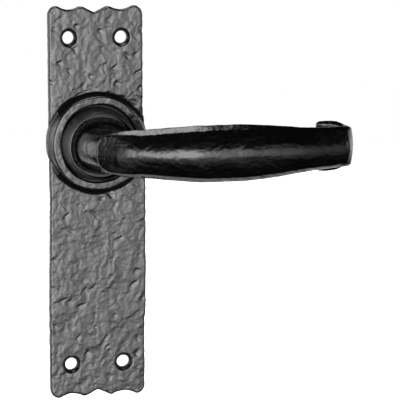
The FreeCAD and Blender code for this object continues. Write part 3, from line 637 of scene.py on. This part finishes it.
# Round the scroll: X, height, how far it has turned from facing the front, half the width,
# ridge, bevel.
SCROLL = [
    (86.6, 40.6, 21, 7.7, 2.1, 1.5),
    (88.6, 39.8, 25, 7.65, 1.8, 1.3),
    (90.1, 38.9, 38, 7.6, 1.2, 1.1),
    (91.1, 37.7, 60, 7.55, 0.7, 0.9),
    (91.5, 36.2, 84, 7.5, 0.4, 0.8),
    (91.4, 34.6, 100, 7.6, 0.4, 0.8),
    (90.6, 32.9, 122, 7.9, 0.4, 0.9),
    (89.1, 31.7, 148, 8.6, 0.4, 0.9),
    (87.0, 31.2, 170, 9.2, 0.4, 0.9),
]
# The tongue that runs from the scroll behind the grip, toward the neck: X, height, half the
# width. Its middle is a little lower than the grip's.
TONGUE = [(84.8, 31.0, 9.5), (82.2, 30.8, 9.6), (80.0, 30.7, 9.5), (79.0, 30.9, 8.9)]
TONGUE_DROP = 0.35


def section_ring(half, ridge, depth, bevel, back=0.72, waist=0.35):
    """One section as points of outward height and width across: ridge, bevels and back.

    The back's width is a share of the face's. The sides draw in from the waist, which is a
    share of the way from the bevel's foot to the back."""
    width, drop = bevel
    face = half - width
    round_over = 0.4 * face
    fall = math.hypot(face, round_over) - round_over
    points = []
    steps = 20
    for step in range(steps + 1):
        across = face * (-1 + 2 * step / steps)
        share = (math.hypot(across, round_over) - round_over) / fall
        points.append((ridge * (1 - share), across))
    flat_back = back * half - 0.5
    side = [
        (-drop * 0.5, face + width * 0.5 + 0.06),
        (-drop, half),
        (-drop - 0.5, half + 0.02),
        (-drop - waist * (depth - drop), half - 0.12 * half),
        (-depth + 0.5, back * half + 0.3),
        (-depth, flat_back),
    ]
    points += side
    crown = 0.35
    back_steps = 6
    for step in range(1, back_steps):
        share = 1 - 2 * step / back_steps
        points.append((-depth - crown * (1 - share * share), flat_back * share))
    points += [(height, -across) for height, across in reversed(side)]
    return points


NOT_ZERO = 1e-12


def interpolated(table, places):
    """Each column of a table at new places of its first column, without overshoot."""
    base = table[:, 0]
    columns = [places]
    for values in table.T[1:]:
        slopes = np.diff(values) / np.diff(base)
        tangents = np.zeros(len(base))
        tangents[1:-1] = np.where(
            slopes[:-1] * slopes[1:] > 0,
            2 * slopes[:-1] * slopes[1:] / (slopes[:-1] + slopes[1:] + NOT_ZERO),
            0,
        )
        tangents[0], tangents[-1] = slopes[0], slopes[-1]
        index = np.clip(np.searchsorted(base, places) - 1, 0, len(base) - 2)
        gap = base[index + 1] - base[index]
        share = (places - base[index]) / gap
        cube, square = share**3, share**2
        columns.append(
            (2 * cube - 3 * square + 1) * values[index]
            + (cube - 2 * square + share) * gap * tangents[index]
            + (3 * square - 2 * cube) * values[index + 1]
            + (cube - square) * gap * tangents[index + 1]
        )
    return np.array(columns).T


def placed(ring, along, height, angle, rise=0.0):
    """Stands a section at a place, its outward direction turned from the front toward +X."""
    lean = math.radians(angle)
    return [
        Vector((
            (along + out * math.sin(lean)) * MM,
            -(height + out * math.cos(lean)) * MM,
            (across + rise) * MM,
        ))
        for out, across in ring
    ]


def leaf_rings():
    """Rings of the grip from the nose to the scroll, closer together near the nose."""
    places = np.concatenate([
        np.array([-6.0, -5.8, -5.5, -5.1]),
        np.arange(-4.6, 13.8, 0.5),
        np.arange(14.2, 84.4, 1.2),
    ])
    rows = interpolated(GRIP, places)
    slope = np.gradient(rows[:, 1], rows[:, 0])
    rings = []
    for (along, height, half, ridge, depth), rise in zip(rows, slope):
        follow = min(1.0, max(0.0, (along + 2) / 20))
        lean = -math.degrees(math.atan(rise)) * follow
        share = min(1.0, 0.25 + (along + 6.0) / 20)
        share *= 1 - 0.3 * float(ramp(along, 64, 82))
        bevel = (BEVEL_WIDTH * share, BEVEL_DEPTH * share)
        rings.append(placed(section_ring(half, ridge, depth, bevel), along, height, lean))
    return rings


def scroll_rings():
    """Rings round the scroll, which gets thinner and narrower behind as it turns."""
    rings = []
    for along, height, angle, half, ridge, bevel in SCROLL:
        past = angle / 180
        depth, back, waist = 4.2 - 1.2 * past, 0.86 - 0.2 * past, 0.35 + 0.3 * past
        ring = section_ring(half, ridge, depth, (bevel, bevel), back, waist)
        rings.append(placed(ring, along, height, angle, -TONGUE_DROP * past))
    return rings


def tongue_rings():
    """Rings of the tongue, whose face is turned to the door."""
    rings = []
    for number, (along, height, half) in enumerate(TONGUE):
        depth = 3.0 - 0.3 * number
        ring = section_ring(half, 0.4, depth, (0.9, 0.9), 0.66, 0.65)
        rings.append(placed(ring, along, height, 180, -TONGUE_DROP))
    return rings


# Along the neck: height, radius across the lever, shift toward +X.
NECK = [
    (13.7, 11.75, 0.0), (14.3, 11.7, 0.0), (15.2, 11.25, -0.05), (16.2, 10.8, -0.1),
    (17.4, 10.4, -0.2), (18.6, 10.28, -0.28), (20.0, 10.12, -0.22), (22.0, 9.85, -0.05),
    (25.0, 9.5, 0.5), (28.0, 9.12, 1.22), (30.5, 8.7, 2.0), (32.5, 8.22, 2.82),
    (34.5, 7.65, 3.75), (36.5, 7.05, 4.65),
]
NECK_STEPS = 64


def neck_rings():
    """Rings of the neck: a flare low in the cup, then a shaft wider than tall that tapers."""
    rings = []
    for height, radius, shift in NECK:
        tall = min(radius, 8.8 + 0.35 * max(0.0, 20 - height) - 0.12 * max(0.0, height - 20))
        ring = []
        for step in range(NECK_STEPS):
            angle = FULL_TURN * step / NECK_STEPS
            lift = math.sin(angle)
            across = tall * math.copysign(abs(lift) ** 0.85, lift)
            ring.append(Vector((
                (shift + radius * math.cos(angle)) * MM, -height * MM, across * MM,
            )))
        rings.append(ring)
    return rings


def lever_relief(x, height, z):
    """How far the lever's skin moves along its normals: fettled, but rough low in the cup."""
    sway = 0.10 * MM * ripple(x + height, z * 1.1, 5.5 * MM, 51)
    dimple = 0.045 * MM * ripple(x + 0.7 * height, z * 1.3, 1.8 * MM, 52)
    grain = 0.04 * MM * ripple(x, z - height, 0.95 * MM, 54)
    on_top_bevel = ramp(z, 4.5 * MM, 6.5 * MM)
    near_neck = ramp(x, 4 * MM, 9 * MM) * (1 - ramp(x, 30 * MM, 42 * MM))
    fettled = sway + dimple + grain * on_top_bevel * near_neck
    rough = 1 - ramp(height, 15.6 * MM, 18.4 * MM)
    cast = 0.13 * MM * ripple(x * 1.3 + height, z * 1.3 + height, 0.95 * MM, 53)
    return fettled * (1 - rough) + cast * rough


def make_lever():
    """Neck and grip under one skin, with the faint unevenness of a fettled casting."""
    grip = loft_mesh("grip", leaf_rings() + scroll_rings() + tongue_rings())
    neck = loft_mesh("neck", neck_rings())
    made = piece("lever_casting", joined("lever_casting", [grip, neck]))
    mesh = remesh(made, LEVER_VOXEL, 3)
    points = coordinates(mesh)
    relief = lever_relief(points[:, 0], -points[:, 1], points[:, 2])
    points += normals(mesh) * relief[:, None]
    points[:, 0] = np.minimum(points[:, 0], LEVER_HIGH.x)
    points[:, 1] = np.maximum(points[:, 1], LEVER_LOW.y)
    set_coordinates(mesh, points)
    smooth_faces(mesh)
    # The lever's enamel carries dust specks and painted light low in the collar's cup.
    dress(made, enamel(
        "lever_enamel", roughness=(0.15, 0.22), grain=1100, pores=1000, depth=0.032 * MM,
        index=1.5, dusty_and_lit=True,
    ))
    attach(made, "lever")
    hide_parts("lever")


# ---------------------------------------------------------------- shank

SHANK_STEPS = 96


def shank_angles():
    return [FULL_TURN * (step + 0.5) / SHANK_STEPS for step in range(SHANK_STEPS)]


def turned_ring(height, radius, flat):
    """A round ring of the shank, cut off by the flats above and below; in millimetres."""
    ring = []
    for angle in shank_angles():
        across = max(-flat, min(flat, radius * math.sin(angle)))
        ring.append((radius * math.cos(angle) * MM, -height * MM, across * MM))
    return ring


def socket_ring(height, half):
    """A square ring of the spindle's socket, in millimetres."""
    ring = []
    for angle in shank_angles():
        reach = half / max(abs(math.cos(angle)), abs(math.sin(angle)))
        ring.append((reach * math.cos(angle) * MM, -height * MM, reach * math.sin(angle) * MM))
    return ring


def make_shank():
    """The lever's turned end behind the plate: round, two flats, groove, square socket."""
    radius = 8.0
    flat = 6.6
    groove = 7.2
    end = 0.3
    shoulder = 14.0
    flatted = [
        (end, radius - 0.25), (0.5, radius), (0.62, radius), (0.65, groove), (1.55, groove),
        (1.58, radius), (4.88, radius),
    ]
    rings = [turned_ring(height, reach, flat) for height, reach in flatted]
    rings += [turned_ring(height, radius, radius) for height in (4.9, shoulder)]
    rings += [socket_ring(height, SPINDLE_SOCKET / MM / 2) for height in (shoulder, end)]
    mesh = hoop_mesh("lever_shank", rings)
    smooth_but_sharp(mesh, 30)
    made = piece("lever_shank", mesh)
    dress(made, black_oxide())
    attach(made, "lever")
    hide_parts("lever")


# ---------------------------------------------------------------- CAD pieces that stay


def dress_hardware():
    """Better materials and softened edges for the small parts whose CAD shape is right."""
    zinc = plated_steel()
    finishes = {
        "spindle": zinc,
        "spring_arbor": zinc,
        "stop_plate": zinc,
        "return_spring": blued_steel(),
        "circlip": bpy.data.materials["black_oxide"],
        "grub_screw": bpy.data.materials["black_oxide"],
        "stop_pins": ground_steel(),
        "thrust_washer": black_nylon(),
    }
    finishes["spring_anchor_pin"] = finishes["stop_pins"]
    for name, material in finishes.items():
        dress(nodes[name], material)
        soften = nodes[name].modifiers.new("soften", "BEVEL")
        soften.width = 0.08 * MM
        soften.segments = 2
        soften.limit_method = "ANGLE"
        soften.angle_limit = math.radians(40)


# ---------------------------------------------------------------- studio


# Soft lamps round the handle: azimuth from the front toward +X, elevation, the cosines of
# the angles from the lamp's middle where its glow starts and is full, and its strength.
LAMPS = [
    # overhead
    (-120, 84, 0.93, 1.0, 6.3),
    (-110, 74, 0.84, 0.99, 1.0),
    # left wall
    (-108, 4, 0.88, 0.985, 2.8),
    (-145, 0, 0.72, 0.95, 0.4),
    (-52, -4, 0.84, 0.995, 1.0),
    # right wall
    (102, 8, 0.86, 0.98, 1.6),
    (135, -10, 0.66, 0.92, 1.1),
    (56, -12, 0.84, 0.99, 0.45),
    # underneath, from behind
    (-172, -55, 0.72, 0.98, 1.7),
    # backdrop
    (-168, 0, 0.35, 0.95, 0.28),
]
DARK_ROOM = 0.004


class Sky:
    """The studio's node tree, with short calls for light that depends on the direction."""

    def __init__(self, name):
        self.world = bpy.data.worlds.new(name)
        self.world.use_nodes = True
        self.tree = self.world.node_tree
        self.tree.nodes.clear()
        self.place = self.tree.nodes.new("ShaderNodeTexCoord").outputs["Generated"]

    def maths(self, kind, first, second):
        made = self.tree.nodes.new("ShaderNodeMath")
        made.operation = kind
        for socket, value in zip(made.inputs, (first, second)):
            if isinstance(value, (int, float)):
                socket.default_value = value
            else:
                self.tree.links.new(value, socket)
        return made.outputs[0]

    def total(self, *values):
        whole = values[0]
        for value in values[1:]:
            whole = self.maths("ADD", whole, value)
        return whole

    def times(self, *values):
        whole = values[0]
        for value in values[1:]:
            whole = self.maths("MULTIPLY", whole, value)
        return whole

    def along(self, azimuth, elevation):
        """How far each direction points toward a place in the studio, from -1 to 1."""
        turn, lift = math.radians(azimuth), math.radians(elevation)
        made = self.tree.nodes.new("ShaderNodeVectorMath")
        made.operation = "DOT_PRODUCT"
        made.inputs[1].default_value = (
            math.sin(turn) * math.cos(lift), -math.cos(turn) * math.cos(lift), math.sin(lift),
        )
        self.tree.links.new(self.place, made.inputs[0])
        return made.outputs["Value"]

    def soft(self, value, low, high):
        made = self.tree.nodes.new("ShaderNodeMapRange")
        made.interpolation_type = "SMOOTHSTEP"
        self.tree.links.new(value, made.inputs["Value"])
        made.inputs["From Min"].default_value = low
        made.inputs["From Max"].default_value = high
        return made.outputs["Result"]

    def lamp(self, azimuth, elevation, start, full, strength):
        return self.times(self.soft(self.along(azimuth, elevation), start, full), strength)

    def glow(self, strength=1.0):
        """A white background whose strength is a number or another node's output."""
        made = self.tree.nodes.new("ShaderNodeBackground")
        made.inputs["Color"].default_value = (1, 1, 1, 1)
        if isinstance(strength, (int, float)):
            made.inputs["Strength"].default_value = strength
        else:
            self.tree.links.new(strength, made.inputs["Strength"])
        return made.outputs[0]


def front_softbox(sky):
    """A wide box in front, bright in its middle, that fades above, below and to the left."""
    upward = sky.along(0, 90)
    downward = sky.times(upward, -1.0)
    fade_above = sky.soft(downward, -0.53, -0.27)
    near_fade_below = sky.times(sky.soft(upward, -0.50, -0.20), fade_above)
    far_fade_below = sky.times(sky.soft(upward, -0.84, -0.64), fade_above)
    band = sky.total(sky.times(near_fade_below, 0.66), sky.times(far_fade_below, 0.34))
    facing = sky.maths("MAXIMUM", sky.along(-17, 0), 0.0)
    core = sky.times(sky.soft(facing, 0.86, 0.997), 3.6)
    tail = sky.times(sky.maths("POWER", facing, 2.4), 4.3)
    fade_left = sky.soft(sky.along(90, 0), -1.0, -0.42)
    return sky.times(sky.total(core, tail), band, fade_left)


def studio_world():
    """White paper for the camera; for the enamel, a wide front softbox and dark sides."""
    sky = Sky("studio")
    bpy.context.scene.world = sky.world
    lamps = [sky.lamp(*lamp) for lamp in LAMPS]
    strength = sky.total(front_softbox(sky), *lamps, DARK_ROOM)
    seen = sky.tree.nodes.new("ShaderNodeLightPath").outputs["Is Camera Ray"]
    blend = sky.tree.nodes.new("ShaderNodeMixShader")
    sky.tree.links.new(seen, blend.inputs[0])
    sky.tree.links.new(sky.glow(strength), blend.inputs[1])
    sky.tree.links.new(sky.glow(), blend.inputs[2])
    output = sky.tree.nodes.new("ShaderNodeOutputWorld")
    sky.tree.links.new(blend.outputs[0], output.inputs["Surface"])


def make_floor():
    """A plain white floor under the handle, with its own soft glow."""
    half = 1.2
    level = PLATE_LOW.z - 60 * MM
    corners = [(-half, -half), (half, -half), (half, half), (-half, half)]
    shape = bmesh.new()
    shape.faces.new([shape.verts.new((x, y, level)) for x, y in corners])
    mesh = bpy.data.meshes.new("floor")
    shape.to_mesh(mesh)
    shape.free()
    floor = piece("floor", mesh)
    shader = Shader("floor_white")
    shader.set(Base_Color=(0.9, 0.9, 0.9, 1), Roughness=0.9)
    shader.set(Emission_Color=(1, 1, 1, 1), Emission_Strength=0.9)
    dress(floor, shader.material)
    floor.visible_glossy = False


def make_camera():
    """The viewpoint: in front, a little to the left and a little above."""
    yaw = math.radians(14.33)
    pitch = math.radians(8.66)
    distance = 0.700
    look = Vector((
        math.sin(yaw) * math.cos(pitch), math.cos(yaw) * math.cos(pitch), -math.sin(pitch),
    ))
    right = Vector((math.cos(yaw), -math.sin(yaw), 0))
    up = right.cross(look)
    centre = right * 40.59 * MM + up * -22.44 * MM
    data = bpy.data.cameras.new("camera")
    data.sensor_width = 36
    data.lens = 164.106
    data.clip_start, data.clip_end = 0.05, 20
    camera = bpy.data.objects.new("camera", data)
    bpy.context.scene.collection.objects.link(camera)
    turn = Matrix((right, up, -look)).transposed()
    camera.matrix_world = Matrix.Translation(centre - look * distance) @ turn.to_4x4()
    bpy.context.scene.camera = camera


make_camera()
studio_world()
make_floor()
make_backplate()
make_collar()
make_lever()
make_shank()
dress_hardware()
bpy.context.scene.view_settings.view_transform = "Standard"

bpy.context.view_layer.update()
